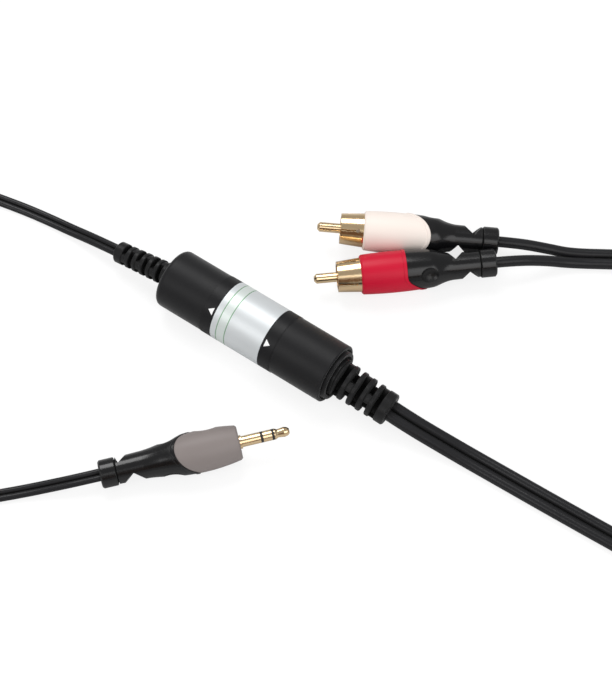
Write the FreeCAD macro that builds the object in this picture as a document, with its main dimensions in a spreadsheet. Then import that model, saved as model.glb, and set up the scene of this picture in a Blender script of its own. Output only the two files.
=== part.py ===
import FreeCAD, Part
import math
import os
import re

import Sketcher

# Ground loop isolator: a turned housing with two audio transformers inside, a twin input lead with a
# 3.5 mm stereo plug and a twin output lead that splits to two phono plugs.
# Millimetres and degrees. X runs along the housing towards the phono end, Z is up, the floor is Z = 0.

doc = FreeCAD.newDocument("GroundLoopIsolator")
V = FreeCAD.Vector

driving = {
    # Housing: shell, cap and label
    "shell_radius": 10.0, "shell_length": 64.0, "shell_wall": 0.9, "end_wall": 1.6,
    "shell_round": 1.8, "rim_bevel": 0.3,
    "cap_depth": 7.0, "cap_gap": 0.1, "cap_recess": 1.2, "boss_out": 1.2,
    "boss_inset": 1.7, "boss_wall": 1.0, "boss_sink": 2.0,
    "label_length": 27.0, "label_shift": -1.0, "label_thick": 0.1, "label_gap": 0.02,
    # Circuit board and transformers
    "board_length": 40.0, "board_margin": 0.7, "board_thick": 1.2, "board_depth": 4.7, "board_shift": -3.3,
    "core_length": 13.0, "core_stack": 5.0, "core_height": 9.4, "core_leg": 4.0, "core_yoke": 1.6,
    "core_spread": 9.5, "coil_gap": 0.1, "coil_wall": 0.5, "coil_flange": 0.6, "coil_reach": 5.0,
    "turns_inset": 0.2, "wire_radius": 0.6, "wire_step": 1.5, "wire_bend": 2.0,
    # Strain reliefs
    "neck_gap": 0.1, "flange_thick": 1.2, "relief_bevel": 0.4, "collar_step": 0.15,
    "web_inset": 0.3, "ring_bevel": 0.25,
    "input_neck": 3.4, "input_flange": 5.2, "input_root": 3.95, "input_tip": 3.6, "input_ring": 1.6,
    "input_first": 2.55, "input_pitch": 2.97, "input_slot": 1.45, "input_last": 3.2, "input_rib": 2.7,
    "input_core_width": 5.0, "input_core_height": 2.8, "input_inset": 0.8,
    "input_yaw": 180.5, "input_droop": 10.5, "input_roll": -60.0,
    "output_neck": 4.2, "output_flange": 5.6, "output_root": 6.2, "output_tip": 5.5, "output_ring": 2.9,
    "output_first": 3.1, "output_pitch": 3.35, "output_slot": 1.8, "output_last": 3.3, "output_rib": 3.0,
    "output_core_width": 8.0, "output_core_height": 4.3, "output_inset": 0.95,
    "output_yaw": 1.5, "output_droop": 8.3, "output_roll": 36.0,
    # Plug handles, measured back from the front of the grip
    "handle_length": 44.4, "handle_bevel": 0.5, "seam_tilt": 47.0, "seam_curve": 4.0, "seam_reach": 8.5,
    "seam_gap": 0.02, "lip_width": 1.1, "lip_rise": 0.22,
    "dimple_place": 22.3, "dimple_radius": 3.8, "dimple_turn": -100.0,
    "ring_place": 39.3, "slit_width": 0.3, "slit_depth": 0.5, "notch_top": 7.0,
    "phono_front": 6.5, "phono_crown": 6.3, "phono_crown_place": 22.5, "phono_bulge": 150.0,
    "phono_shoulder": 5.6, "phono_shoulder_place": 25.5, "phono_bend": 9.5, "phono_hollow": 15.0,
    "phono_waist": 4.45, "phono_waist_place": 30.0, "phono_neck": 4.25, "phono_tail": 4.6,
    "phono_seam": 14.8, "phono_dimple": 1.5,
    "jack_front": 5.5, "jack_crown": 5.6, "jack_crown_place": 23.0, "jack_bulge": 60.0,
    "jack_shoulder": 5.1, "jack_shoulder_place": 25.5, "jack_bend": 120.0, "jack_hollow": 37.0,
    "jack_waist": 4.45, "jack_waist_place": 30.5, "jack_neck": 4.2, "jack_tail": 4.5,
    "jack_seam": 13.9, "jack_dimple": 2.0,
    "phono_notch_place": 31.2, "phono_notch_front": 4.5, "phono_notch_back": 5.3, "phono_notch_floor": 1.9,
    "phono_nick_place": 36.2, "phono_nick_front": 6.3, "phono_nick_back": 5.0, "phono_nick_floor": 1.9,
    "jack_notch_place": 34.3, "jack_notch_front": 6.9, "jack_notch_back": 6.3, "jack_notch_floor": 1.7,
    "jack_nick_place": 38.2, "jack_nick_front": 6.2, "jack_nick_back": 1.6, "jack_nick_floor": 2.2,
    "white_notch_turn": 90.5, "red_notch_turn": 144.0, "jack_notch_turn": -102.5,
    "scoop_place": 9.3, "scoop_rise": 1.2, "scoop_radius": 9.0, "scoop_depth": 0.9, "scoop_turn": 75.0,
    # Phono contacts, measured from the pin's tip
    "phono_reach": 15.2, "pin_radius": 1.6, "pin_round": 0.8, "pin_shank": 1.2,
    "collar_start": 7.6, "collar_mouth": 5.0, "collar_base": 5.6, "collar_bore": 4.15,
    "insulator_face": 12.8, "insulator_radius": 3.4, "insulator_gap": 0.02,
    "collar_slit": 0.45, "collar_slit_end": 13.4, "collar_slit_hole": 0.55,
    # Stereo plug contacts, measured from the tip
    "jack_reach": 15.9, "barrel_radius": 1.75, "tip_end": 4.8, "tip_bevel": 0.25, "tip_neck": 1.3,
    "tip_neck_place": 3.7, "tip_ball": 1.6, "tip_ball_place": 1.7, "tip_nose": 0.8, "tip_slope": 0.6,
    "first_gap_end": 5.6, "ring_end": 8.4, "second_gap_end": 9.2,
    "shoulder_radius": 2.15, "shoulder_start": 15.2,
    # Where the plugs lie: the tip's place, the heading of the tail, its droop and the seam's roll
    "white_tip_x": -5.47, "white_tip_y": 43.35, "white_tip_z": 8.85,
    "white_yaw": 31.3, "white_droop": 3.5, "white_roll": 37.0,
    "red_tip_x": 4.5, "red_tip_y": 27.0, "red_tip_z": 6.95,
    "red_yaw": 40.7, "red_droop": -0.25, "red_roll": 154.0,
    "jack_tip_x": 30.5, "jack_tip_y": -24.3, "jack_tip_z": 8.95,
    "jack_yaw": -132.5, "jack_droop": 3.95, "jack_roll": -13.0,
    # Cords: the width and height of a flat twin cord, the radius of a single one
    "input_width": 4.3, "input_height": 2.1, "output_width": 7.3, "output_height": 3.6,
    "phono_cord_radius": 1.8, "lobe_offset": 1.85, "floor_gap": 0.05,
    "input_leave": 7.0, "jack_leave": 7.0, "output_leave": 8.5, "phono_leave": 7.5,
    "split_x": 74.0, "split_y": 88.5, "split_yaw": 33.0, "split_leave": 15.0,
}

sizes = doc.addObject("Spreadsheet::Sheet", "sizes")
for line, (alias, amount) in enumerate(driving.items(), 1):
    sizes.set("A%d" % line, alias)
    sizes.set("B%d" % line, str(amount))
    sizes.setAlias("B%d" % line, alias)
doc.recompute()

# Places that several pieces share, as formulas of the sheet's sizes
axis_height = "(shell_radius + label_gap + label_thick)"
shell_start = "(-(shell_length + boss_out) / 2)"
shell_bore = "(shell_radius - shell_wall)"
cap_start = "(%s + shell_length - cap_depth)" % shell_start
cap_floor = "(cap_depth + boss_out - boss_sink)"
board_drop = "(%s - board_depth)" % shell_bore
board_top = "(%s - %s)" % (axis_height, board_drop)
boss_radius = "(shell_radius - boss_inset)"
boss_bore = "(%s - boss_wall)" % boss_radius

# The cords' courses, chosen by hand: (x, y), or (x, y, z) where a cord is off the floor
input_course = [
    (-67.5, -0.2, 3.3), (-74.2, -0.4, 1.9), (-82.5, -0.9), (-92.5, -2.3), (-105.5, -4.9), (-123.7, -8.9),
    (-148.5, -31.5), (-158.0, -65.0), (-149.5, -98.0), (-125.0, -121.5), (-92.5, -129.5), (-60.0, -119.5),
    (-44.5, -103.2), (-34.5, -92.6), (-27.0, -85.2, 1.6), (-20.4, -78.9, 2.9)]
output_course = [
    (69.8, 1.9, 3.6), (79.5, 2.75, 2.1), (92.0, 3.2), (108.0, 3.6), (124.0, 4.1), (153.5, 5.2),
    (178.5, 21.0), (192.5, 47.5), (191.0, 77.5), (175.5, 103.0), (149.5, 117.0), (120.0, 116.0),
    (102.8, 106.4)]
phono_courses = {"white": [(59.6, 82.7, 2.8)], "red": [(62.2, 77.5, 4.5)]}

# The slots of each relief, how much of a run an arc takes, and the least volume that counts as a cut
input_slots = 6
output_slots = 5
arc_share = 0.45
least_cut = 0.01


def formula(words):
    """Each alias in the words, with its sheet named before it."""
    return re.sub(r"\b[a-z]+_\w+\b", lambda found: "sizes." + found.group(0), words)


def amount_of(words):
    return float(sizes.evalExpression(formula(words)))


def bind(thing, **words):
    for name, text in words.items():
        thing.setExpression(name, formula(text))
    return thing


def spot(x="0", y="0", z="0", turns=("0", "0", "0")):
    """A placement as a formula: a place, then yaw, pitch and roll."""
    place = "create(<<vector>>; %s; %s; %s)" % (x, y, z)
    turned = "create(<<rotation>>; %s; %s; %s)" % turns
    return "create(<<placement>>; %s; %s)" % (place, turned)


def move(thing, *spots):
    thing.setExpression("Placement", formula(" * ".join(spots)))
    return thing


# Sketches

def plane_of(body, role):
    return next(item for item in body.Origin.OriginFeatures if item.Role == role)


def tie(sketch, kind, line, end, words):
    """Hold a corner of a sketch at the distance that the words give."""
    if words == "0":
        axis = -2 if kind == "DistanceX" else -1
        sketch.addConstraint(Sketcher.Constraint("PointOnObject", line, end, axis))
        return
    ends = (-1, 1, line, end)
    if words.startswith("-"):
        words = words[1:]
        ends = (line, end, -1, 1)
    place = sketch.addConstraint(Sketcher.Constraint(kind, *ends, amount_of(words)))
    name = "%s%d" % (kind, place)
    sketch.renameConstraint(place, name)
    bind(sketch, **{"Constraints." + name: words})


def arc_between(first, second, radius, side):
    """The arc from the first corner to the second, bulging outwards for side 1 and inwards for -1."""
    middle = (first + second) / 2
    half = (second - first) / 2
    drop = math.sqrt(radius ** 2 - half.Length ** 2)
    centre = middle + V(half.y, -half.x, 0) * (side * drop / half.Length)
    start, stop = [math.atan2(end.y - centre.y, end.x - centre.x) for end in (second, first)[::side]]
    return Part.ArcOfCircle(Part.Circle(centre, V(0, 0, 1), radius), start, stop)


def outline(sketch, corners):
    """A closed outline. A corner is (along, out), or (along, out, radius) where an arc leaves it.

    A radius with a minus before it makes the arc a hollow one.
    """
    spots = [V(amount_of(corner[0]), amount_of(corner[1]), 0) for corner in corners]
    first_line = sketch.GeometryCount
    starts = []
    ends = []
    for place, corner in enumerate(corners):
        here = spots[place]
        there = spots[(place + 1) % len(spots)]
        side = 1
        if len(corner) == 3:
            side = -1 if corner[2].startswith("-") else 1
            sketch.addGeometry(arc_between(here, there, amount_of(corner[2].lstrip("-")), side), False)
        else:
            sketch.addGeometry(Part.LineSegment(here, there), False)
        backwards = len(corner) == 3 and side == 1
        starts.append(2 if backwards else 1)
        ends.append(1 if backwards else 2)
    for place in range(len(corners)):
        after = (place + 1) % len(corners)
        sketch.addConstraint(Sketcher.Constraint("Coincident", first_line + place, ends[place],
                                                 first_line + after, starts[after]))
    for place, corner in enumerate(corners):
        tie(sketch, "DistanceX", first_line + place, starts[place], corner[0])
        tie(sketch, "DistanceY", first_line + place, starts[place], corner[1])
        if len(corner) == 3:
            radius = corner[2].lstrip("-")
            arc = Sketcher.Constraint("Radius", first_line + place, amount_of(radius))
            bulge = sketch.addConstraint(arc)
            sketch.renameConstraint(bulge, "Radius%d" % bulge)
            bind(sketch, **{"Constraints.Radius%d" % bulge: radius})


def draw(body, name, role, outlines):
    sketch = body.newObject("Sketcher::SketchObject", name)
    sketch.AttachmentSupport = (plane_of(body, role), [""])
    sketch.MapMode = "FlatFace"
    for corners in outlines:
        outline(sketch, corners)
    return sketch


# Features

def turn(body, name, corners):
    """Turn an outline about the body's X axis."""
    sketch = draw(body, name + "Outline", "XY_Plane", [corners])
    feature = body.newObject("PartDesign::Revolution", name)
    feature.Profile = sketch
    feature.ReferenceAxis = (sketch, ["H_Axis"])
    feature.Angle = 360
    doc.recompute()
    return feature


def turned_body(name, corners):
    body = doc.addObject("PartDesign::Body", name)
    turn(body, name + "Turn", corners)
    return body


def cut_through(body, name, role, outlines):
    """Cut outlines right through the body, both ways from the sketch's plane."""
    before = body.Tip.Shape.Volume
    feature = body.newObject("PartDesign::Pocket", name)
    feature.Profile = draw(body, name + "Outline", role, outlines)
    feature.Type = "ThroughAll"
    feature.SideType = "Symmetric"
    body.Tip = feature
    doc.recompute()
    if feature.Shape.Volume > before - least_cut:
        raise RuntimeError(name + " cuts nothing")
    return feature


def slab(name, corners, thickness):
    """A body with the outline in the XZ plane and its thickness both ways from it."""
    body = doc.addObject("PartDesign::Body", name)
    feature = body.newObject("PartDesign::Pad", name + "Pad")
    feature.Profile = draw(body, name + "Outline", "XZ_Plane", [corners])
    feature.SideType = "Symmetric"
    bind(feature, Length=thickness)
    doc.recompute()
    return body


def repeat(body, feature, step, count):
    """Repeat a cut along the body's X axis."""
    pattern = body.newObject("PartDesign::LinearPattern", feature.Name + "Row")
    pattern.Originals = [feature]
    pattern.Direction = (plane_of(body, "X_Axis"), [""])
    pattern.Mode = "Extent"
    pattern.Occurrences = count
    bind(pattern, Length="%d * (%s)" % (count - 1, step))
    body.Tip = pattern
    doc.recompute()


def dress(body, kind, name, size, wanted):
    """A fillet or a chamfer on the edges that the wanted test picks."""
    base = body.Tip
    names = ["Edge%d" % (place + 1) for place, edge in enumerate(base.Shape.Edges) if wanted(edge)]
    feature = body.newObject("PartDesign::" + kind, name)
    feature.Base = (base, names)
    bind(feature, **{"Radius" if kind == "Fillet" else "Size": size})
    doc.recompute()


def block(name, low, span):
    """A box from its low corner and its spans."""
    box = doc.addObject("Part::Box", name)
    bind(box, Length=span[0], Width=span[1], Height=span[2])
    return move(box, spot(*low))


def middle_block(name, length, width, height, x, z):
    """A box centred on x and on the XZ plane, standing on z."""
    return block(name, ("%s - (%s) / 2" % (x, length), "-(%s) / 2" % width, z), (length, width, height))


def join(name, pieces):
    whole = doc.addObject("Part::MultiFuse", name)
    whole.Shapes = pieces
    return whole


def fused(name, base, tool):
    whole = doc.addObject("Part::Fuse", name)
    whole.Base = base
    whole.Tool = tool
    return whole


def less(name, base, tool):
    cut = doc.addObject("Part::Cut", name)
    cut.Base = base
    cut.Tool = tool
    return cut


nodes = []


def node(thing, name):
    """Name a finished sub-part."""
    thing.Label = name
    nodes.append(thing)
    return thing


# Housing

def housing_shell():
    body = turned_body("Shell", [
        ("0", "input_neck + neck_gap"), ("0", "shell_radius"), ("shell_length - rim_bevel", "shell_radius"),
        ("shell_length", "shell_radius - rim_bevel"), ("shell_length", shell_bore), ("end_wall", shell_bore),
        ("end_wall", "input_neck + neck_gap")])
    radius = amount_of("shell_radius")
    dress(body, "Fillet", "ShellEndRound", "min(shell_round; 2 * end_wall; shell_radius / 2)",
          lambda edge: abs(edge.BoundBox.XMax) < 0.001 and abs(edge.BoundBox.ZMax - radius) < 0.001)
    move(body, spot(shell_start, "0", axis_height))
    node(body, "housing_shell")


def end_cap():
    outer = "(%s - cap_gap)" % shell_bore
    step = "cap_depth - cap_recess"
    front = "cap_depth + boss_out"
    bore = "output_neck + neck_gap"
    body = turned_body("Cap", [
        ("0", bore), ("0", outer), (step, outer), (step, boss_radius), (front, boss_radius),
        (front, boss_bore), (cap_floor, boss_bore), (cap_floor, bore)])
    move(body, spot(cap_start, "0", axis_height))
    node(body, "end_cap")


def label():
    inner = "shell_radius + label_gap"
    outer = inner + " + label_thick"
    body = turned_body("Label", [
        ("0", inner), ("0", outer), ("label_length", outer), ("label_length", inner)])
    move(body, spot("label_shift - label_length / 2", "0", axis_height))
    node(body, "label")


# Inside the housing

def circuit_board():
    chord = "2 * sqrt(%s ^ 2 - (%s + board_thick) ^ 2)" % (shell_bore, board_drop)
    board = middle_block("Board", "board_length", "(%s - 2 * board_margin)" % chord, "board_thick",
                         "board_shift", board_top + " - board_thick")
    node(board, "circuit_board")


def transformer(channel, side):
    """A laminated core of three legs, with its bobbin and winding round the middle leg."""
    x = "board_shift %s core_spread" % side
    window = "core_length / 2 - core_leg / 2 - core_yoke"
    window_height = "(core_height - 2 * core_yoke)"
    core = middle_block(channel + "CoreBlank", "core_length", "core_stack", "core_height", x, board_top)
    windows = []
    for place, way in enumerate("-+"):
        middle = "%s %s (core_leg + %s) / 2" % (x, way, window)
        windows.append(middle_block("%sWindow%d" % (channel, place), window, "2 * core_stack", window_height,
                                    middle, board_top + " + core_yoke"))
    node(less(channel + "Core", core, join(channel + "Windows", windows)), channel.lower() + "_channel_core")

    inner_length = "(core_leg + 2 * coil_gap)"
    inner_width = "(core_stack + 2 * coil_gap)"
    outer_length = "(%s + 2 * coil_wall)" % inner_length
    outer_width = "(%s + 2 * coil_wall)" % inner_width
    flange_length = "(core_leg + 2 * (%s) - 2 * coil_gap)" % window
    low = "(%s + core_yoke + coil_gap)" % board_top
    height = "(%s - 2 * coil_gap)" % window_height
    sleeve = middle_block(channel + "Sleeve", outer_length, outer_width, height, x, low)
    flanges = []
    for place, z in enumerate((low, "%s + %s - coil_flange" % (low, height))):
        flanges.append(middle_block("%sFlange%d" % (channel, place), flange_length, "2 * coil_reach",
                                    "coil_flange", x, z))
    hole = middle_block(channel + "BobbinHole", inner_length, inner_width, "3 * " + height, x,
                        "%s - %s" % (low, height))
    bobbin = less(channel + "Bobbin", join(channel + "BobbinBlank", [sleeve] + flanges), hole)
    node(bobbin, channel.lower() + "_channel_bobbin")

    turns_low = low + " + coil_flange + coil_gap / 2"
    turns_height = "(%s - 2 * coil_flange - coil_gap)" % height
    turns = middle_block(channel + "Turns", flange_length + " - 2 * turns_inset",
                         "2 * (coil_reach - turns_inset)", turns_height, x, turns_low)
    core_hole = middle_block(channel + "TurnsHole", outer_length + " + coil_gap", outer_width + " + coil_gap",
                             "3 * " + height, x, "%s - %s" % (low, height))
    node(less(channel + "Winding", turns, core_hole), channel.lower() + "_channel_winding")


# Swept pieces: straight runs joined by tangent arcs, each arc as large as its two runs allow

def rounded_path(points):
    edges = []
    radii = []
    start = points[0]
    for before, corner, after in zip(points, points[1:], points[2:]):
        way_in = (corner - before).normalize()
        way_out = (after - corner).normalize()
        half = way_in.getAngle(way_out) / 2
        reach = arc_share * min((corner - before).Length, (after - corner).Length)
        radii.append(reach / math.tan(half))
        arc_start = corner - way_in * reach
        arc_end = corner + way_out * reach
        inward = (way_out - way_in).normalize()
        middle = corner + inward * (radii[-1] * (1 / math.cos(half) - 1))
        edges.append(Part.LineSegment(start, arc_start).toShape())
        edges.append(Part.Arc(arc_start, middle, arc_end).toShape())
        start = arc_end
    edges.append(Part.LineSegment(start, points[-1]).toShape())
    return Part.Wire(edges), radii


def swept(points, width, height):
    """A tube along the points: round, or flat with round sides where its width is more."""
    path, radii = rounded_path(points)
    along = (points[1] - points[0]).normalize()
    side = V(0, 0, 1).cross(along).normalize()
    rise = along.cross(side)
    start = points[0]
    radius = height / 2
    flat = width / 2 - radius
    if width > height:
        corners = [start + side * flat + rise * radius, start + side * (flat + radius),
                   start + side * flat - rise * radius, start - side * flat - rise * radius,
                   start - side * (flat + radius), start - side * flat + rise * radius]
        section = Part.Wire([Part.Arc(corners[0], corners[1], corners[2]).toShape(),
                             Part.LineSegment(corners[2], corners[3]).toShape(),
                             Part.Arc(corners[3], corners[4], corners[5]).toShape(),
                             Part.LineSegment(corners[5], corners[0]).toShape()])
    else:
        section = Part.Wire([Part.Circle(start, along, radius).toShape()])
    face = Part.Face(section)
    tube = path.makePipe(face)
    return tube, path.Length, face.Area, radii


def cord(name, points, width, height):
    shape, length, area, radii = swept(points, width, height)
    ratio = shape.Volume / (area * length)
    print("%s: length %.1f mm, least radius %.1f mm, volume / (section x length) %.4f, lowest %.3f"
          % (name, length, min(radii), ratio, shape.BoundBox.ZMin))
    print("  radii", [round(radius) for radius in radii])
    print("  points", [tuple(round(value, 2) for value in point) for point in points])
    thing = doc.addObject("Part::Feature", name)
    thing.Shape = shape
    node(thing, name)


def wires(name, face_x, way, pad_x, count):
    """Thin wires from a relief's inner face down to pads on the board."""
    radius = amount_of("wire_radius")
    top = amount_of(axis_height)
    pad = amount_of(board_top) + radius
    bend = way * amount_of("wire_bend")
    bundle = []
    for place in range(count):
        y = (place - (count - 1) / 2) * amount_of("wire_step")
        points = [V(face_x, y, top), V(face_x + bend, y, top), V(pad_x - bend / 2, y, pad), V(pad_x, y, pad)]
        bundle.append(swept(points, 2 * radius, 2 * radius)[0])
    thing = doc.addObject("Part::Feature", name)
    thing.Shape = Part.makeCompound(bundle)
    node(thing, name)


def inner_wires():
    input_face = amount_of(shell_start + " + end_wall + flange_thick")
    output_face = amount_of(cap_start + " - flange_thick")
    reach = "(core_spread + core_length / 2)"
    input_pad = amount_of("board_shift - %s - wire_radius" % reach)
    output_pad = amount_of("board_shift + %s + wire_radius" % reach)
    wires("input_wires", input_face, 1, input_pad, 3)
    wires("output_wires", output_face, -1, output_pad, 4)


# Strain reliefs: a head held in the housing, and a slotted tail that droops from it

def slots(side, axis, height):
    """Two openings of one slot, above and below the web."""
    start = "%s_first" % side
    if axis == "second":
        start += " + %s_pitch" % side
    stop = "%s + %s_slot" % (start, side)
    rib = "%s_rib / 2" % side
    upper = [(start, rib), (start, height), (stop, height), (stop, rib)]
    lower = [(along, "-(%s)" % out) for along, out in upper]
    return [upper, lower]


def relief_end(side, count):
    return "(%s_first + %d * %s_pitch + %s_slot + %s_last)" % (side, count - 1, side, side, side)


def relief_tail(side, count):
    """The rings and the webs between them: a groove at each slot, and slots from two sides in turn."""
    root = side + "_root"
    tip = side + "_tip"
    inset = side + "_inset"
    end = relief_end(side, count)
    corners = [(inset, "0"), (inset, root)]
    for place in range(count):
        start = "%s_first + %d * %s_pitch" % (side, place, side)
        stop = "%s + %s_slot" % (start, side)
        ring = "%s - (%s - %s) * %d / %d" % (root, root, tip, place, count)
        after = "%s - (%s - %s) * %d / %d" % (root, root, tip, place + 1, count)
        web = after + " - web_inset"
        corners += [(start + " - ring_bevel", ring), (start, ring + " - ring_bevel"), (start, web)]
        corners += [(stop, web), (stop, after + " - ring_bevel"), (stop + " + ring_bevel", after)]
    corners += [(end + " - relief_bevel", tip), (end, tip + " - relief_bevel"), (end, "0")]
    body = turned_body(side.capitalize() + "Tail", corners)
    height = "2 * " + root
    first = cut_through(body, side.capitalize() + "FirstSlot", "XZ_Plane", slots(side, "first", height))
    repeat(body, first, "2 * %s_pitch" % side, (count + 1) // 2)
    second = cut_through(body, side.capitalize() + "SecondSlot", "XY_Plane", slots(side, "second", height))
    repeat(body, second, "2 * %s_pitch" % side, count // 2)
    return body


def relief_core(side, count, pivot):
    """The flat sleeve that covers the twin cord inside the rings, level as the cord is."""
    name = side.capitalize() + "Core"
    start = side + "_inset + relief_bevel"
    length = "(%s - relief_bevel - (%s))" % (relief_end(side, count), start)
    radius = "(%s_core_height / 2)" % side
    flat = "(%s_core_width - %s_core_height)" % (side, side)
    level = spot(pivot, "0", axis_height, (side + "_yaw", side + "_droop", "0"))
    middle = doc.addObject("Part::Box", name + "Middle")
    bind(middle, Length=length, Width=flat, Height=side + "_core_height")
    pieces = [move(middle, level, spot(start, "-%s / 2" % flat, "-" + radius))]
    for place, way in enumerate(("", "-")):
        edge = doc.addObject("Part::Cylinder", "%sEdge%d" % (name, place))
        bind(edge, Radius=radius, Height=length)
        pieces.append(move(edge, level, spot(start, "%s%s / 2" % (way, flat), "0", ("0", "90", "0"))))
    return join(name, pieces)


def relief_place(side, pivot):
    return spot(pivot, "0", axis_height, (side + "_yaw", side + "_droop", side + "_roll"))


def input_relief():
    neck_end = "flange_thick + end_wall"
    ring_end = neck_end + " + input_ring"
    collar = "input_root + collar_step"
    head = turned_body("InputHead", [
        ("0", "0"), ("0", "input_flange"), ("flange_thick", "input_flange"),
        ("flange_thick", "input_neck"), (neck_end, "input_neck"), (neck_end, collar), (ring_end, collar),
        (ring_end, "0")])
    move(head, spot(shell_start + " + end_wall + flange_thick", "0", axis_height, ("180", "0", "0")))
    tail = move(relief_tail("input", input_slots), relief_place("input", shell_start))
    rings = fused("InputRings", head, tail)
    node(fused("InputRelief", rings, relief_core("input", input_slots, shell_start)), "input_relief")


def output_relief():
    neck_end = "flange_thick + " + cap_floor
    ring_end = neck_end + " + output_ring"
    collar = "output_root + collar_step"
    head = turned_body("OutputHead", [
        ("0", "0"), ("0", "output_flange"), ("flange_thick", "output_flange"),
        ("flange_thick", "output_neck"), (neck_end, "output_neck"), (neck_end, collar), (ring_end, collar),
        (ring_end, "0")])
    move(head, spot(cap_start + " - flange_thick", "0", axis_height))
    pivot = cap_start + " + " + cap_floor
    tail = move(relief_tail("output", output_slots), relief_place("output", pivot))
    rings = fused("OutputRings", head, tail)
    node(fused("OutputRelief", rings, relief_core("output", output_slots, pivot)), "output_relief")


# Plugs: each is built along its own X axis, from the tip of its pin towards its cord

def plug_place(plug):
    turns = (plug + "_yaw", plug + "_droop", plug + "_roll")
    return spot(plug + "_tip_x", plug + "_tip_y", plug + "_tip_z", turns)


def seam_cutter(name, kind, ahead, shift):
    """All that lies ahead of the seam between grip and boot, or behind it, with the seam shifted back.

    From the side the seam runs square across the lower half of the handle and slants over the upper one.
    """
    seam = "(%s_reach + %s_seam + %s)" % (kind, kind, shift)
    bend = "(seam_curve * tan(seam_tilt / 2))"
    far = "0" if ahead else seam + " + 2 * handle_length"
    return slab(name, [
        (seam, "-seam_reach"), (seam, "-" + bend, "seam_curve"),
        ("%s + %s * sin(seam_tilt)" % (seam, bend), bend + " * cos(seam_tilt)"),
        (seam + " + seam_reach * tan(seam_tilt)", "seam_reach"), (far, "seam_reach"), (far, "-seam_reach")],
        "2 * seam_reach")


def crown_corners(kind, rise=""):
    """The corners that the grip and the boot share, from the front of the handle to its crown."""
    front = kind + "_reach"
    return [(front, "0"), (front, "%s_front - handle_bevel%s" % (kind, rise)),
            (front + " + handle_bevel", "%s_front%s" % (kind, rise), kind + "_bulge"),
            (front + " + %s_crown_place" % kind, "%s_crown%s" % (kind, rise))]


def crown_blank(name, kind, rise=""):
    corners = crown_corners(kind, rise)
    return turned_body(name, corners + [(corners[-1][0], "0")])


def lip(name, kind, start, stop):
    """The low rim along the seam, between two shifts of it."""
    ends = [seam_cutter(name + "Front", kind, True, start), seam_cutter(name + "Back", kind, False, stop)]
    return less(name, crown_blank(name + "Blank", kind, " + lip_rise"), join(name + "Ends", ends))


def grip(plug, kind):
    """The coloured front of the handle up to the seam, where a phono plug's has its lip."""
    name = plug.capitalize() + "Grip"
    cutters = [seam_cutter(name + "Behind", kind, False, "0")]
    if plug == "jack":
        scoop = doc.addObject("Part::Sphere", name + "Scoop")
        bind(scoop, Radius="scoop_radius")
        out = "jack_front + scoop_rise + scoop_radius - scoop_depth"
        move(scoop, spot(turns=("0", "0", "scoop_turn")), spot("jack_reach + scoop_place", "0", out))
        cutters.append(scoop)
    tool = join(name + "Cutters", cutters) if len(cutters) > 1 else cutters[0]
    whole = less(name, crown_blank(name + "Blank", kind), tool)
    if kind == "phono":
        whole = fused(name + "Lipped", whole, lip(name + "Lip", kind, "-lip_width", "0"))
    node(move(whole, plug_place(plug)), plug + "_grip")


def notch_corners(kind, notch, way):
    """A bending notch's outline: its apex near the cord, its two sides running out past the boot."""
    place = "%s_reach + %s_%s_place" % (kind, kind, notch)
    start = "%s_%s" % (kind, notch)
    return [(place, way + start + "_floor"), (place + " - %s_front" % start, way + "notch_top"),
            (place + " + %s_back" % start, way + "notch_top")]


def boot(plug, kind):
    """The black back of the handle: two finger dimples, two bending notches, and a ring past a slit."""
    name = plug.capitalize() + "Boot"
    front = kind + "_reach"
    end = front + " + handle_length"
    tail = kind + "_tail"
    neck = kind + "_neck"
    ring = front + " + ring_place"
    slit = ring + " - slit_width"
    crown = crown_corners(kind)
    blank = turned_body(name + "Blank", crown[:-1] + [
        (*crown[-1], kind + "_bend"),
        (front + " + %s_shoulder_place" % kind, kind + "_shoulder", "-%s_hollow" % kind),
        (front + " + %s_waist_place" % kind, kind + "_waist"), (slit, neck), (slit, neck + " - slit_depth"),
        (ring, neck + " - slit_depth"), (ring, tail + " - ring_bevel"), (ring + " + ring_bevel", tail),
        (end + " - handle_bevel", tail), (end, tail + " - handle_bevel"), (end, "0")])
    cut_through(blank, name + "Notches", "XZ_Plane", [
        notch_corners(kind, "notch", ""), notch_corners(kind, "nick", "-")])
    move(blank, spot(turns=("0", "0", plug + "_notch_turn")))
    whole = less(name + "Behind", blank, seam_cutter(name + "Ahead", kind, True, "seam_gap"))
    if kind == "jack":
        whole = fused(name + "Lipped", whole, lip(name + "Lip", kind, "seam_gap", "seam_gap + lip_width"))
    dimples = []
    for place, way in enumerate(("", "-")):
        dimple = doc.addObject("Part::Sphere", "%sDimple%d" % (name, place))
        bind(dimple, Radius="dimple_radius")
        out = "%s(%s_crown + dimple_radius - %s_dimple)" % (way, kind, kind)
        around = spot(turns=("0", "0", "dimple_turn"))
        dimples.append(move(dimple, around, spot(front + " + dimple_place", z=out)))
    whole = less(name, whole, join(name + "Dimples", dimples))
    node(move(whole, plug_place(plug)), plug + "_boot")


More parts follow.
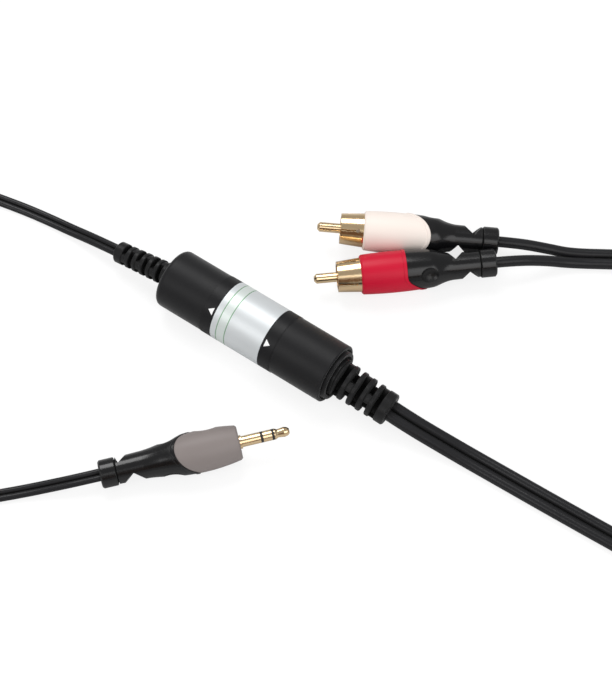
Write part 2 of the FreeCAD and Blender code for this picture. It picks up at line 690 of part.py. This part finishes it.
def phono_contacts(plug):
    """The centre pin, the insulator that holds it and the slit collar round them."""
    name = plug.capitalize()
    pin = turned_body(name + "Pin", [
        ("0", "0"), ("0", "pin_radius - pin_round"), ("pin_round", "pin_radius"),
        ("insulator_face", "pin_radius"), ("insulator_face", "pin_shank"), ("phono_reach", "pin_shank"),
        ("phono_reach", "0")])
    hole = "pin_shank + insulator_gap"
    insulator = turned_body(name + "Insulator", [
        ("insulator_face", hole), ("insulator_face", "insulator_radius"),
        ("phono_reach", "insulator_radius"), ("phono_reach", hole)])
    bore = "insulator_radius + insulator_gap"
    collar = turned_body(name + "Collar", [
        ("collar_start", "collar_bore"), ("collar_start", "collar_mouth"), ("phono_reach", "collar_base"),
        ("phono_reach", bore), ("collar_slit_end + 2 * collar_slit_hole", bore),
        ("collar_slit_end + 2 * collar_slit_hole", "collar_bore")])
    half = "collar_slit / 2"
    before = "collar_start - collar_slit"
    for role in ("XY_Plane", "XZ_Plane"):
        cut_through(collar, name + "Slit" + role[:2], role, [[
            (before, half), ("collar_slit_end", half), ("collar_slit_end", "-" + half),
            (before, "-" + half)]])
        drill = collar.newObject("PartDesign::Pocket", name + "SlitHole" + role[:2])
        sketch = draw(collar, name + "SlitHoleOutline" + role[:2], role, [])
        middle = V(amount_of("collar_slit_end"), 0, 0)
        circle = Part.Circle(middle, V(0, 0, 1), amount_of("collar_slit_hole"))
        sketch.addGeometry(circle, False)
        sketch.addConstraint(Sketcher.Constraint("PointOnObject", 0, 3, -1))
        sketch.addConstraint(Sketcher.Constraint("DistanceX", -1, 1, 0, 3, amount_of("collar_slit_end")))
        sketch.addConstraint(Sketcher.Constraint("Radius", 0, amount_of("collar_slit_hole")))
        sketch.renameConstraint(1, "place")
        sketch.renameConstraint(2, "round")
        bind(sketch, **{"Constraints.place": "collar_slit_end", "Constraints.round": "collar_slit_hole"})
        drill.Profile = sketch
        drill.Type = "ThroughAll"
        drill.SideType = "Symmetric"
        collar.Tip = drill
        doc.recompute()
    for body, piece in ((pin, "_pin"), (insulator, "_insulator"), (collar, "_collar")):
        node(move(body, plug_place(plug)), plug + piece)


def jack_contacts():
    """Tip, ring and sleeve contacts with the two insulating rings between them."""
    contact = "barrel_radius"
    tip = turned_body("JackTip", [
        ("0", "0"), ("0", "tip_nose"), ("tip_slope", "(tip_nose + tip_ball) / 2 + tip_bevel / 2"),
        ("tip_ball_place", "tip_ball"), ("tip_neck_place", "tip_neck"), ("tip_end - tip_bevel", contact),
        ("tip_end", contact), ("tip_end", "0")])
    pieces = [(tip, "jack_tip_contact")]
    for piece, start, stop in (
            ("front_insulator", "tip_end", "first_gap_end"), ("ring_contact", "first_gap_end", "ring_end"),
            ("rear_insulator", "ring_end", "second_gap_end")):
        body = turned_body("Jack" + piece.replace("_", ""), [
            (start, "0"), (start, contact), (stop, contact), (stop, "0")])
        pieces.append((body, "jack_" + piece))
    sleeve = turned_body("JackSleeve", [
        ("second_gap_end", "0"), ("second_gap_end", contact), ("shoulder_start", contact),
        ("shoulder_start", "shoulder_radius"), ("jack_reach", "shoulder_radius"), ("jack_reach", "0")])
    pieces.append((sleeve, "jack_sleeve_contact"))
    for body, name in pieces:
        node(move(body, plug_place("jack")), name)


# Cords: the points are chosen by hand between the ends that the reliefs and plugs give

def ahead(placement, reach, more=0):
    """The point at a reach along a placement's X axis, and the point a run further on."""
    return [placement.multVec(V(reach, 0, 0)), placement.multVec(V(reach + more, 0, 0))]


def relief_ends(side, count):
    place = doc.getObject(side.capitalize() + "Tail").Placement
    return ahead(place, amount_of(relief_end(side, count)), amount_of(side + "_leave"))


def plug_ends(plug, kind, leave):
    place = doc.getObject(plug.capitalize() + "Boot").Placement
    return ahead(place, amount_of(kind + "_reach + handle_length"), amount_of(leave))


def course(points, low):
    """The course's points, those without a height laid on the floor."""
    return [V(*point) if len(point) == 3 else V(*point, low) for point in points]


def cords():
    low = amount_of("input_height / 2 + floor_gap")
    route = relief_ends("input", input_slots) + course(input_course, low)
    route += plug_ends("jack", "jack", "jack_leave")[::-1]
    cord("input_cord", route, amount_of("input_width"), amount_of("input_height"))

    low = amount_of("output_height / 2 + floor_gap")
    yaw = math.radians(amount_of("split_yaw"))
    along = V(math.cos(yaw), math.sin(yaw), 0)
    side = V(-along.y, along.x, 0)
    split = V(amount_of("split_x"), amount_of("split_y"), low)
    route = relief_ends("output", output_slots) + course(output_course, low)
    route += [split + along * amount_of("split_leave"), split]
    cord("output_cord", route, amount_of("output_width"), amount_of("output_height"))

    thick = 2 * amount_of("phono_cord_radius")
    for plug, way in (("white", 1), ("red", -1)):
        lobe = split + side * (way * amount_of("lobe_offset"))
        route = plug_ends(plug, "phono", "phono_leave") + course(phono_courses[plug], low)
        route += [lobe - along * amount_of("phono_leave"), lobe]
        cord(plug + "_cord", route, thick, thick)


def build():
    housing_shell()
    end_cap()
    label()
    circuit_board()
    transformer("Left", "-")
    transformer("Right", "+")
    inner_wires()
    input_relief()
    output_relief()
    for plug in ("white", "red"):
        grip(plug, "phono")
        boot(plug, "phono")
        phono_contacts(plug)
    grip("jack", "jack")
    boot("jack", "jack")
    jack_contacts()
    doc.recompute()
    cords()
    doc.recompute()


def export():
    """Check every object, then write each sub-part's shape."""
    for thing in doc.Objects:
        if "Invalid" in thing.State or "Error" in thing.State:
            raise RuntimeError("%s failed: %s" % (thing.Name, thing.State))
    for thing in nodes:
        if thing.Shape.isNull() or not thing.Shape.isValid():
            raise RuntimeError(thing.Label + " has no valid shape")
    os.makedirs("parts", exist_ok=True)
    for thing in nodes:
        thing.Shape.exportStep("parts/%s.step" % thing.Label)
        print("%s: %d solids, %.1f mm3" % (thing.Label, len(thing.Shape.Solids), thing.Shape.Volume))


build()
export()
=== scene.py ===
import math

import bpy
from mathutils import Matrix, Vector


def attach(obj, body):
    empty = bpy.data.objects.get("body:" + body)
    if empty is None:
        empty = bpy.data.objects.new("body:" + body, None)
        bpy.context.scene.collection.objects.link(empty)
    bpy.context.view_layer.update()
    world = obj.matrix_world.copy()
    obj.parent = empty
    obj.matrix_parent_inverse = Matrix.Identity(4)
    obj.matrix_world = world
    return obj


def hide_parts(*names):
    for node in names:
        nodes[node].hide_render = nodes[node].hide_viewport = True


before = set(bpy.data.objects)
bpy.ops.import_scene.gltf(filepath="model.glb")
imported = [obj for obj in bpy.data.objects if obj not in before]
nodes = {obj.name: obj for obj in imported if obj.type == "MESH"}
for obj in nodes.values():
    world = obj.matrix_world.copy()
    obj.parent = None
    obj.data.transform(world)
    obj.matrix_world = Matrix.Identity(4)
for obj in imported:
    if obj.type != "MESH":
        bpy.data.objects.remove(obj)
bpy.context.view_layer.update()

# Ground loop isolator: housing, twin leads, stereo plug and two phono plugs.
# Metres; X runs along the housing towards the phono end, Z is up, the floor is Z = 0.


# Camera and studio

cameraSettings = {
    "azimuth": 34.7,  # degrees to the right of the view along +Y
    "elevation": 59.7,
    "lens": 118.3,
    "farthest": 20.0,  # past the floor's far corner
    "place": (0.2284, -0.3009, 0.6407),
}


def addCamera(settings):
    azimuth = math.radians(settings["azimuth"])
    elevation = math.radians(settings["elevation"])
    back = Vector((math.sin(azimuth) * math.cos(elevation), -math.cos(azimuth) * math.cos(elevation),
                   math.sin(elevation)))
    right = Vector((math.cos(azimuth), math.sin(azimuth), 0))
    up = back.cross(right)
    data = bpy.data.cameras.new("camera")
    data.lens = settings["lens"]
    data.clip_end = settings["farthest"]
    camera = bpy.data.objects.new("camera", data)
    bpy.context.collection.objects.link(camera)
    turned = Matrix((right, up, back)).transposed().to_4x4()
    camera.matrix_world = Matrix.Translation(settings["place"]) @ turned
    bpy.context.scene.camera = camera


def startMaterial(name):
    material = bpy.data.materials.new(name)
    material.use_nodes = True
    tree = material.node_tree
    return material, tree, tree.nodes["Principled BSDF"]


def mathNode(tree, operation, first, second=0.0, third=0.0):
    node = tree.nodes.new("ShaderNodeMath")
    node.operation = operation
    for place, value in enumerate((first, second, third)):
        if isinstance(value, (int, float)):
            node.inputs[place].default_value = value
        else:
            tree.links.new(value, node.inputs[place])
    return node.outputs[0]


studioSettings = {
    "sky": 0.58,  # how bright the white surroundings light the object
    "skyInGloss": 0.36,  # how bright they show in a glossy surface
    "floorSize": 12.0,
    "floorOwn": 0.24,  # the floor's grey where the camera sees it, under its own glow
    "floorGlow": 0.785,
    "floorBounce": 0.80,  # the grey that lights the object from below
    "floorInGloss": 0.50,
}
screenSettings = {
    # The dim warm room in front of the table: it shows only as a band in the gold and the black pieces
    "place": (0.66, -0.95, 0.72),
    "turn": 34.8,  # degrees round from facing along Y
    "width": 2.0,
    "height": 0.80,
    "colour": (0.13, 0.065, 0.03),
}
lamps = [
    # name, place, aim, side, watts
    ("keyLamp", (-0.45, 0.35, 0.95), (0.0, 0.0, 0.0), 0.60, 6.0),
    ("fillLamp", (0.75, -0.30, 0.80), (0.0, 0.0, 0.0), 0.80, 3.6),
    ("frontLamp", (-0.25, -0.80, 0.70), (0.0, 0.0, 0.0), 0.50, 2.2),
]


def addStudio(settings):
    world = bpy.data.worlds.new("studio")
    bpy.context.scene.world = world
    world.use_nodes = True
    tree = world.node_tree
    background = tree.nodes["Background"]
    rays = tree.nodes.new("ShaderNodeLightPath")
    seen = mathNode(tree, "MAXIMUM", rays.outputs["Is Camera Ray"], rays.outputs["Is Transmission Ray"])
    strength = mathNode(tree, "MULTIPLY_ADD", seen, 1 - settings["sky"], settings["sky"])
    strength = mathNode(tree, "MULTIPLY_ADD", rays.outputs["Is Glossy Ray"],
                        settings["skyInGloss"] - settings["sky"], strength)
    background.inputs["Color"].default_value = (1, 1, 1, 1)
    tree.links.new(strength, background.inputs["Strength"])

    bpy.ops.mesh.primitive_plane_add(size=settings["floorSize"], location=(0, 0, 0))
    floor = bpy.context.object
    floor.name = "studioFloor"
    material, tree, surface = startMaterial("floorPaper")
    rays = tree.nodes.new("ShaderNodeLightPath")
    seen = mathNode(tree, "MAXIMUM", rays.outputs["Is Camera Ray"], rays.outputs["Is Transmission Ray"])
    grey = mathNode(tree, "MULTIPLY_ADD", seen, settings["floorOwn"] - settings["floorBounce"],
                    settings["floorBounce"])
    grey = mathNode(tree, "MULTIPLY_ADD", rays.outputs["Is Glossy Ray"],
                    settings["floorInGloss"] - settings["floorBounce"], grey)
    tree.links.new(grey, surface.inputs["Base Color"])
    surface.inputs["Roughness"].default_value = 0.9
    surface.inputs["Specular IOR Level"].default_value = 0.0
    surface.inputs["Emission Color"].default_value = (1, 1, 1, 1)
    glow = mathNode(tree, "MULTIPLY", seen, settings["floorGlow"])
    tree.links.new(glow, surface.inputs["Emission Strength"])
    floor.data.materials.append(material)

    bpy.ops.mesh.primitive_plane_add(size=1, location=screenSettings["place"],
                                     rotation=(math.pi / 2, 0, math.radians(screenSettings["turn"])))
    screen = bpy.context.object
    screen.name = "dimScreen"
    screen.scale = (screenSettings["width"], screenSettings["height"], 1)
    screen.visible_camera = False
    screen.visible_diffuse = False
    screen.visible_shadow = False
    screen.visible_transmission = False
    material, tree, surface = startMaterial("dimCloth")
    surface.inputs["Base Color"].default_value = (*screenSettings["colour"], 1)
    surface.inputs["Roughness"].default_value = 1.0
    surface.inputs["Specular IOR Level"].default_value = 0.0
    screen.data.materials.append(material)

    for name, place, aim, side, watts in lamps:
        data = bpy.data.lights.new(name, "AREA")
        data.size = side
        data.energy = watts
        lamp = bpy.data.objects.new(name, data)
        bpy.context.collection.objects.link(lamp)
        lamp.location = place
        lamp.rotation_euler = (Vector(place) - Vector(aim)).to_track_quat("Z", "Y").to_euler()
    bpy.context.scene.view_settings.view_transform = "Standard"


addCamera(cameraSettings)
addStudio(studioSettings)
print("camera, floor and lamps ready")


# Materials


def colourOf(values):
    return (*values, 1.0)


def objectPlace(tree):
    return tree.nodes.new("ShaderNodeTexCoord").outputs["Object"]


def noise(tree, place, scale, detail=3.0, roughness=0.5):
    node = tree.nodes.new("ShaderNodeTexNoise")
    node.inputs["Scale"].default_value = scale
    node.inputs["Detail"].default_value = detail
    node.inputs["Roughness"].default_value = roughness
    tree.links.new(place, node.inputs["Vector"])
    return node.outputs["Fac"]


def spread(tree, value, low, high):
    node = tree.nodes.new("ShaderNodeMapRange")
    tree.links.new(value, node.inputs["Value"])
    node.inputs["To Min"].default_value = low
    node.inputs["To Max"].default_value = high
    return node.outputs["Result"]


def mixColours(tree, factor, first, second):
    node = tree.nodes.new("ShaderNodeMix")
    node.data_type = "RGBA"
    # Its sockets share their names with those for numbers, so they are told apart by their place
    for entry, value in ((0, factor), (6, first), (7, second)):
        if isinstance(value, (tuple, float)):
            node.inputs[entry].default_value = value
        else:
            tree.links.new(value, node.inputs[entry])
    return node.outputs[2]


surfaceDetail = {
    "clouds": 55.0,  # scales of the noise in a moulded piece's colour and gloss
    "glossClouds": 140.0,
    "metalClouds": 260.0,
    "metalGlossClouds": 500.0,
    "glossSpread": (-0.05, 0.06),  # how far the roughness strays to each side
    "metalGlossSpread": (-0.04, 0.06),
    "grainDetail": 2.0,
    "edgeSamples": 6,
    "paintedShadeSamples": 8,
    "paintedShadeRange": (-0.9, 1.1),  # painted shade: pushes a slot's floor to full shadow and leaves an open face bare
    # The near-black colour of the painted shade in slots and grooves
    "paintedShadeColour": (0.0004, 0.0004, 0.0004),
    "sheenRoughness": 0.35,
}


def roughen(tree, surface, place, scale, height, edge):
    # Fine moulded grain as bump, over a softened edge
    bump = tree.nodes.new("ShaderNodeBump")
    bump.inputs["Strength"].default_value = 1.0
    bump.inputs["Distance"].default_value = height
    tree.links.new(noise(tree, place, scale, surfaceDetail["grainDetail"]), bump.inputs["Height"])
    if edge:
        bevel = tree.nodes.new("ShaderNodeBevel")
        bevel.samples = surfaceDetail["edgeSamples"]
        bevel.inputs["Radius"].default_value = edge
        tree.links.new(bevel.outputs["Normal"], bump.inputs["Normal"])
    tree.links.new(bump.outputs["Normal"], surface.inputs["Normal"])


def moulded(name, colour, shade, roughness, grain, height, edge=0.0, specular=0.5, paintedShadeReach=0.0, sheen=0.0):
    # A moulded plastic or rubber: faint clouds in its colour and gloss, a fine grain, and painted shade in
    # its slots, which turn near black and dull where a wall stands nearer than the given distance
    material, tree, surface = startMaterial(name)
    place = objectPlace(tree)
    clouds = noise(tree, place, surfaceDetail["clouds"])
    paint = mixColours(tree, clouds, colourOf(colour), colourOf(shade))
    less, more = surfaceDetail["glossSpread"]
    gloss = spread(tree, noise(tree, place, surfaceDetail["glossClouds"]), roughness + less, roughness + more)
    # Painted shade: where ambient occlusion finds a near wall, the colour is painted near black and the gloss
    # made dull
    if paintedShadeReach:
        shadow = tree.nodes.new("ShaderNodeAmbientOcclusion")
        shadow.samples = surfaceDetail["paintedShadeSamples"]
        shadow.only_local = True
        shadow.inputs["Distance"].default_value = paintedShadeReach
        bare = spread(tree, shadow.outputs["AO"], *surfaceDetail["paintedShadeRange"])
        paint = mixColours(tree, bare, colourOf(surfaceDetail["paintedShadeColour"]), paint)
        gloss = mathNode(tree, "MULTIPLY_ADD", bare, roughness - 1.0, 1.0)
    tree.links.new(paint, surface.inputs["Base Color"])
    tree.links.new(gloss, surface.inputs["Roughness"])
    surface.inputs["Specular IOR Level"].default_value = specular
    surface.inputs["Sheen Weight"].default_value = sheen
    surface.inputs["Sheen Roughness"].default_value = surfaceDetail["sheenRoughness"]
    roughen(tree, surface, place, grain, height, edge)
    return material


def metal(name, colour, shade, roughness, grain, height, edge=0.0):
    material, tree, surface = startMaterial(name)
    place = objectPlace(tree)
    clouds = noise(tree, place, surfaceDetail["metalClouds"])
    tree.links.new(mixColours(tree, clouds, colourOf(colour), colourOf(shade)), surface.inputs["Base Color"])
    surface.inputs["Metallic"].default_value = 1.0
    less, more = surfaceDetail["metalGlossSpread"]
    clouds = noise(tree, place, surfaceDetail["metalGlossClouds"])
    tree.links.new(spread(tree, clouds, roughness + less, roughness + more), surface.inputs["Roughness"])
    roughen(tree, surface, place, grain, height, edge)
    return material


def dressNode(name, material):
    piece = nodes[name]
    piece.data.materials.clear()
    piece.data.materials.append(material)


# Each finish: its colour, the shade that its clouds mix in, its roughness, and its grain's scale and height
housingPlastic = moulded("housingPlastic", (0.008, 0.008, 0.009), (0.011, 0.011, 0.012), 0.46, 2600.0,
                         0.00001, edge=0.0002, specular=0.20, sheen=0.24)
# The rubbers and the cord jacket get painted shade in their slots and grooves
reliefRubber = moulded("reliefRubber", (0.008, 0.008, 0.0085), (0.012, 0.012, 0.0125), 0.40, 2200.0, 0.00001,
                       edge=0.0002, specular=0.24, paintedShadeReach=0.0022, sheen=0.05)
bootRubber = moulded("bootRubber", (0.004, 0.004, 0.0046), (0.006, 0.006, 0.0066), 0.27, 2200.0, 0.00001,
                     edge=0.0002, specular=0.46, paintedShadeReach=0.004)
cordJacket = moulded("cordJacket", (0.011, 0.011, 0.0125), (0.016, 0.016, 0.0175), 0.36, 1500.0, 0.00002,
                     specular=0.24, paintedShadeReach=0.0012, sheen=0.05)
creamPlastic = moulded("creamPlastic", (0.86, 0.775, 0.715), (0.82, 0.73, 0.67), 0.40, 2600.0, 0.00001,
                       edge=0.0003, specular=0.2)
crimsonPlastic = moulded("crimsonPlastic", (0.60, 0.004, 0.032), (0.50, 0.003, 0.026), 0.38, 2600.0, 0.00001,
                         edge=0.0003, specular=0.22)
greyPlastic = moulded("greyPlastic", (0.25, 0.22, 0.21), (0.22, 0.19, 0.182), 0.42, 2600.0, 0.00001,
                      edge=0.0003, specular=0.2)
phonoInsulator = moulded("phonoInsulator", (0.80, 0.76, 0.70), (0.74, 0.70, 0.64), 0.45, 2600.0, 0.00001)
insulation = moulded("insulation", (0.012, 0.011, 0.010), (0.018, 0.017, 0.016), 0.45, 2600.0, 0.00001)
goldPlate = metal("goldPlate", (0.95, 0.73, 0.46), (0.90, 0.66, 0.38), 0.17, 4000.0, 0.000004, edge=0.0001)
laminations = metal("laminations", (0.32, 0.32, 0.33), (0.22, 0.22, 0.23), 0.5, 2000.0, 0.00002)
enamelledCopper = metal("enamelledCopper", (0.72, 0.30, 0.12), (0.60, 0.22, 0.08), 0.3, 3000.0, 0.00002)
nylon = moulded("nylon", (0.72, 0.70, 0.62), (0.66, 0.63, 0.55), 0.5, 2000.0, 0.00001)
boardGreen = moulded("boardGreen", (0.03, 0.16, 0.06), (0.02, 0.12, 0.045), 0.4, 1800.0, 0.00001)
wireRed = moulded("wireRed", (0.55, 0.03, 0.03), (0.45, 0.02, 0.02), 0.4, 1800.0, 0.00001)


labelSettings = {
    "axisHeight": 0.01012,
    "foilReach": (-0.0103, 0.0081),  # where the silver field ends at each side
    "foil": (0.70, 0.725, 0.735),
    "foilShade": (0.60, 0.63, 0.645),
    "clouds": 45.0,
    "metallic": 0.35,
    "specular": 0.2,
    "gloss": (0.38, 0.46),
    "glossClouds": 300.0,
    "grain": 1200.0,
    "grainHeight": 0.000006,
    "edge": 0.0001,
    "band": (0.009, 0.009, 0.010),
    "rules": (-0.0081, -0.0049),  # two thin printed rings near the input end
    "ruleWidth": 0.00032,
    "ruleColour": (0.20, 0.36, 0.22),
    "tint": (0.70, 0.78, 0.72),  # between the rings, over half of the foil's own colour
    "tintShare": 0.5,
    "print": (0.88, 0.88, 0.88),
    "arrowTurn": -42.0,  # degrees round from the top, at the middle of each arrow
    "arrowHalf": 7.4,
    "arrowLength": 0.00185,
    "arrowBases": ((-0.0111, -1), (0.0090, 1)),  # where each arrow starts, and which way it points
}


def within(tree, value, low, high):
    return mathNode(tree, "MULTIPLY", mathNode(tree, "GREATER_THAN", value, low),
                    mathNode(tree, "LESS_THAN", value, high))


def arrow(tree, settings, x, turn, base, way):
    # 1 inside a small triangle that points along the housing
    length = settings["arrowLength"]
    along = mathNode(tree, "MULTIPLY_ADD", x, way / length, -base * way / length)
    room = mathNode(tree, "MULTIPLY_ADD", along, -settings["arrowHalf"], settings["arrowHalf"])
    off = mathNode(tree, "ABSOLUTE", mathNode(tree, "SUBTRACT", turn, settings["arrowTurn"]))
    return mathNode(tree, "MULTIPLY", within(tree, along, 0.0, 1.0),
                    mathNode(tree, "LESS_THAN", off, room))


def labelFoil(settings):
    # Silver field between two black bands, with two thin rings and two small arrows and no lettering
    material, tree, surface = startMaterial("labelFoil")
    place = objectPlace(tree)
    parts = tree.nodes.new("ShaderNodeSeparateXYZ")
    tree.links.new(place, parts.inputs["Vector"])
    x = parts.outputs["X"]
    rise = mathNode(tree, "SUBTRACT", parts.outputs["Z"], settings["axisHeight"])
    turn = mathNode(tree, "MULTIPLY", mathNode(tree, "ARCTAN2", parts.outputs["Y"], rise), math.degrees(1))
    onFoil = within(tree, x, *settings["foilReach"])
    colour = mixColours(tree, noise(tree, place, settings["clouds"]), colourOf(settings["foil"]),
                        colourOf(settings["foilShade"]))
    tint = mathNode(tree, "MULTIPLY", within(tree, x, *settings["rules"]), settings["tintShare"])
    colour = mixColours(tree, tint, colour, colourOf(settings["tint"]))
    for ring in settings["rules"]:
        line = within(tree, x, ring - settings["ruleWidth"] / 2, ring + settings["ruleWidth"] / 2)
        colour = mixColours(tree, line, colour, colourOf(settings["ruleColour"]))
    colour = mixColours(tree, onFoil, colourOf(settings["band"]), colour)
    for base, way in settings["arrowBases"]:
        colour = mixColours(tree, arrow(tree, settings, x, turn, base, way), colour,
                            colourOf(settings["print"]))
    tree.links.new(colour, surface.inputs["Base Color"])
    tree.links.new(mathNode(tree, "MULTIPLY", onFoil, settings["metallic"]), surface.inputs["Metallic"])
    gloss = spread(tree, noise(tree, place, settings["glossClouds"]), *settings["gloss"])
    tree.links.new(gloss, surface.inputs["Roughness"])
    surface.inputs["Specular IOR Level"].default_value = settings["specular"]
    roughen(tree, surface, place, settings["grain"], settings["grainHeight"], settings["edge"])
    return material


dressing = {
    housingPlastic: ["housing_shell", "end_cap"],
    reliefRubber: ["input_relief", "output_relief"],
    bootRubber: ["white_boot", "red_boot", "jack_boot"],
    creamPlastic: ["white_grip"],
    crimsonPlastic: ["red_grip"],
    greyPlastic: ["jack_grip"],
    phonoInsulator: ["white_insulator", "red_insulator"],
    insulation: ["jack_front_insulator", "jack_rear_insulator"],
    goldPlate: ["white_pin", "white_collar", "red_pin", "red_collar", "jack_tip_contact", "jack_ring_contact",
                "jack_sleeve_contact"],
    laminations: ["left_channel_core", "right_channel_core"],
    enamelledCopper: ["left_channel_winding", "right_channel_winding"],
    nylon: ["left_channel_bobbin", "right_channel_bobbin"],
    boardGreen: ["circuit_board"],
    wireRed: ["input_wires", "output_wires"],
    labelFoil(labelSettings): ["label"],
}
for material, names in dressing.items():
    for name in names:
        dressNode(name, material)
print("materials ready")


# Cords: smooth routes through the points that the CAD tubes follow

inputCordSettings = {
    "name": "inputCord", "node": "input_cord", "lobe": 0.00105, "width": 0.0043,
    "route": [
        (-0.05428, -0.00019, 0.00610), (-0.06116, -0.00025, 0.00483), (-0.0675, -0.0002, 0.0033),
        (-0.0742, -0.0004, 0.0019), (-0.0825, -0.0009, 0.0011), (-0.0925, -0.0023, 0.0011),
        (-0.1055, -0.0049, 0.0011), (-0.1237, -0.0089, 0.0011), (-0.1485, -0.0315, 0.0011),
        (-0.1580, -0.0650, 0.0011), (-0.1495, -0.0980, 0.0011), (-0.1250, -0.1215, 0.0011),
        (-0.0925, -0.1295, 0.0011), (-0.0600, -0.1195, 0.0011), (-0.0445, -0.1032, 0.0011),
        (-0.0345, -0.0926, 0.0011), (-0.0270, -0.0852, 0.0016), (-0.0204, -0.0789, 0.0029),
        (-0.01486, -0.07380, 0.00431), (-0.01014, -0.06865, 0.00480)],
}
outputCordSettings = {
    "name": "outputCord", "node": "output_cord", "lobe": 0.0018, "width": 0.0073,
    "route": [
        (0.05197, 0.00056, 0.0070), (0.06037, 0.00078, 0.00577), (0.0698, 0.0019, 0.0036),
        (0.0795, 0.00275, 0.0021), (0.0920, 0.0032, 0.00185), (0.1080, 0.0036, 0.00185),
        (0.1240, 0.0041, 0.00185), (0.1535, 0.0052, 0.00185), (0.1785, 0.0210, 0.00185),
        (0.1925, 0.0475, 0.00185), (0.1910, 0.0775, 0.00185), (0.1755, 0.1030, 0.00185),
        (0.1495, 0.1170, 0.00185), (0.1200, 0.1160, 0.00185), (0.1028, 0.1064, 0.00185),
        (0.08658, 0.09667, 0.00185), (0.0740, 0.0885, 0.00185)],
}
whiteCordSettings = {
    "name": "whiteCord", "node": "white_cord", "lobe": 0.0018, "width": 0.0036,
    "route": [
        (0.04536, 0.07426, 0.00521), (0.05176, 0.07814, 0.00475), (0.0596, 0.0827, 0.0028),
        (0.0667, 0.08597, 0.00185), (0.07299, 0.09005, 0.00185)],
}
redCordSettings = {
    "name": "redCord", "node": "red_cord", "lobe": 0.0018, "width": 0.0036,
    "route": [
        (0.04968, 0.06586, 0.00721), (0.05537, 0.07076, 0.00724), (0.0622, 0.0775, 0.0045),
        (0.06872, 0.08286, 0.00185), (0.07501, 0.08695, 0.00185)],
}
cordDetail = {
    "steps": 10,  # points of the curve for each control point
    "lobePoints": 14,
    "grooveTurn": 13.0,  # degrees from the middle at which a twin cord's lobe ends
    "sharpest": 50.0,  # degrees between faces that are still shaded as one
}


def routePoints(name, route):
    curve = bpy.data.curves.new(name + "Route", "CURVE")
    curve.dimensions = "3D"
    curve.resolution_u = cordDetail["steps"]
    spline = curve.splines.new("NURBS")
    spline.points.add(len(route) - 1)
    for point, place in zip(spline.points, route):
        point.co = (*place, 1.0)
    spline.order_u = 3
    spline.use_endpoint_u = True
    holder = bpy.data.objects.new(name + "Route", curve)
    bpy.context.collection.objects.link(holder)
    bpy.context.view_layer.update()
    line = bpy.data.meshes.new_from_object(holder)
    points = [vertex.co.copy() for vertex in line.vertices]
    bpy.data.objects.remove(holder)
    bpy.data.curves.remove(curve)
    bpy.data.meshes.remove(line)
    return points


def cordSection(lobe, width):
    # Points round the section: one circle, or two lobes side by side with a groove between them
    count = cordDetail["lobePoints"]
    offset = width / 2 - lobe
    if offset < lobe / 2:
        return [(lobe * math.cos(turn), lobe * math.sin(turn))
                for turn in (2 * math.pi * place / (2 * count) for place in range(2 * count))]
    reach = math.pi - math.radians(cordDetail["grooveTurn"])
    turns = [reach * (2 * place / (count - 1) - 1) for place in range(count)]
    right = [(offset + lobe * math.cos(turn), lobe * math.sin(turn)) for turn in turns]
    return right + [(-across, -rise) for across, rise in right]


def tube(name, points, section):
    # A closed tube along the points, its section level, with a UV map of (round, along)
    rings = []
    travelled = [0.0]
    for place, point in enumerate(points):
        before = points[max(place - 1, 0)]
        after = points[min(place + 1, len(points) - 1)]
        along = (after - before).normalized()
        side = along.cross(Vector((0, 0, 1))).normalized()
        rise = side.cross(along)
        rings.append([point + side * across + rise * up for across, up in section])
        if place:
            travelled.append(travelled[-1] + (point - before).length)
    count = len(section)
    vertices = [vertex for ring in rings for vertex in ring]
    faces = []
    marks = []
    for ring in range(len(rings) - 1):
        for corner in range(count):
            nextCorner = (corner + 1) % count
            faces.append((ring * count + corner, ring * count + nextCorner,
                          (ring + 1) * count + nextCorner, (ring + 1) * count + corner))
            low, high = corner / count, (corner + 1) / count
            marks.append([(low, travelled[ring]), (high, travelled[ring]),
                          (high, travelled[ring + 1]), (low, travelled[ring + 1])])
    last = (len(rings) - 1) * count
    faces.append(tuple(range(count - 1, -1, -1)))
    faces.append(tuple(last + corner for corner in range(count)))
    marks.append([(corner / count, 0.0) for corner in range(count)])
    marks.append([(corner / count, travelled[-1]) for corner in range(count)])
    mesh = bpy.data.meshes.new(name)
    mesh.from_pydata(vertices, [], faces)
    layer = mesh.uv_layers.new(name="jacket")
    for polygon, corners in zip(mesh.polygons, marks):
        for loop, mark in zip(polygon.loop_indices, corners):
            layer.data[loop].uv = mark
    piece = bpy.data.objects.new(name, mesh)
    bpy.context.collection.objects.link(piece)
    bpy.ops.object.select_all(action="DESELECT")
    piece.select_set(True)
    bpy.context.view_layer.objects.active = piece
    bpy.ops.object.mode_set(mode="EDIT")
    bpy.ops.mesh.select_all(action="SELECT")
    bpy.ops.mesh.normals_make_consistent(inside=False)
    bpy.ops.object.mode_set(mode="OBJECT")
    bpy.ops.object.shade_smooth_by_angle(angle=math.radians(cordDetail["sharpest"]))
    return piece


def addCord(settings):
    points = routePoints(settings["name"], settings["route"])
    piece = tube(settings["name"], points, cordSection(settings["lobe"], settings["width"]))
    piece.data.materials.append(cordJacket)
    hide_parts(settings["node"])
    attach(piece, "root")


addCord(inputCordSettings)
addCord(outputCordSettings)
addCord(whiteCordSettings)
addCord(redCordSettings)
print("cords ready")
